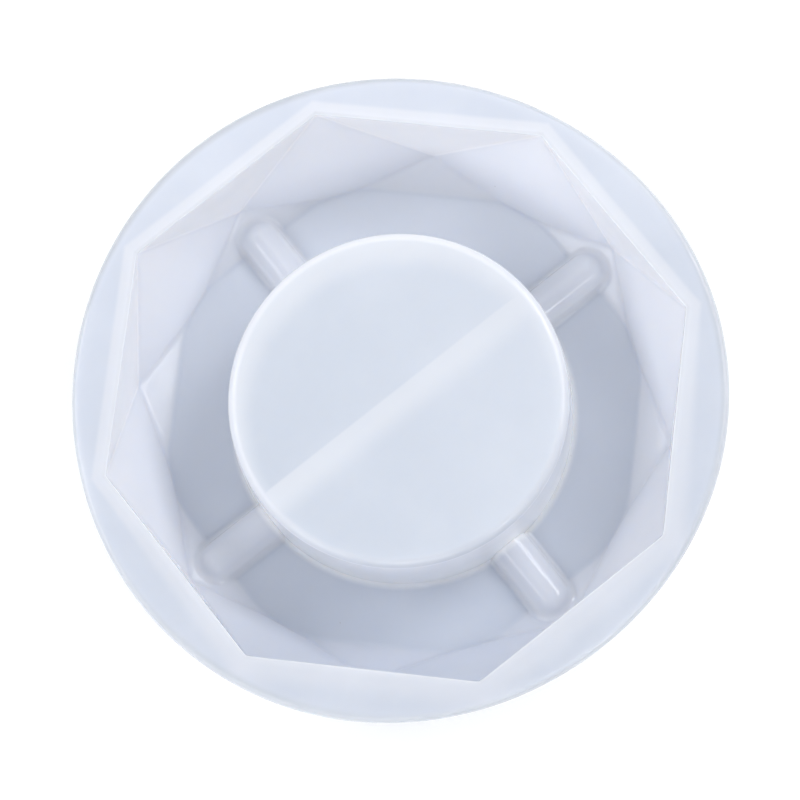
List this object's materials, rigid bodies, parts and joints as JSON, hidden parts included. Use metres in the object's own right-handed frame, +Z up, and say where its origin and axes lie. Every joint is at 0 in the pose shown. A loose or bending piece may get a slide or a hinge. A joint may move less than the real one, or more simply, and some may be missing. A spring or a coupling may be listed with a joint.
{
  "type": "resin casting mould",
  "caption": "Open one-piece silicone casting mould with faceted octagonal walls, a flat round rim, a hollow round core and half-round rest ridges, for casting a tray in resin.",
  "frame": {"origin": "centre of the underside", "axes": "+Z up out of the open mouth, +X along the web under the core and along one pair of rest ridges"},
  "size_m": [0.131, 0.131, 0.0275],
  "materials": {
    "silicone": "milky translucent silicone, smooth and slightly glossy"
  },
  "bodies": {
    "root": {"rim": "silicone", "wall_panel_1": "silicone", "wall_panel_2": "silicone", "wall_panel_3": "silicone", "wall_panel_4": "silicone", "wall_panel_5": "silicone", "wall_panel_6": "silicone", "wall_panel_7": "silicone", "wall_panel_8": "silicone", "floor_quarter_1": "silicone", "floor_quarter_2": "silicone", "floor_quarter_3": "silicone", "floor_quarter_4": "silicone", "core_wall": "silicone", "core_top": "silicone", "core_web": "silicone", "rest_ridge_1": "silicone", "rest_ridge_2": "silicone", "rest_ridge_3": "silicone", "rest_ridge_4": "silicone"}
  },
  "joints": []
}
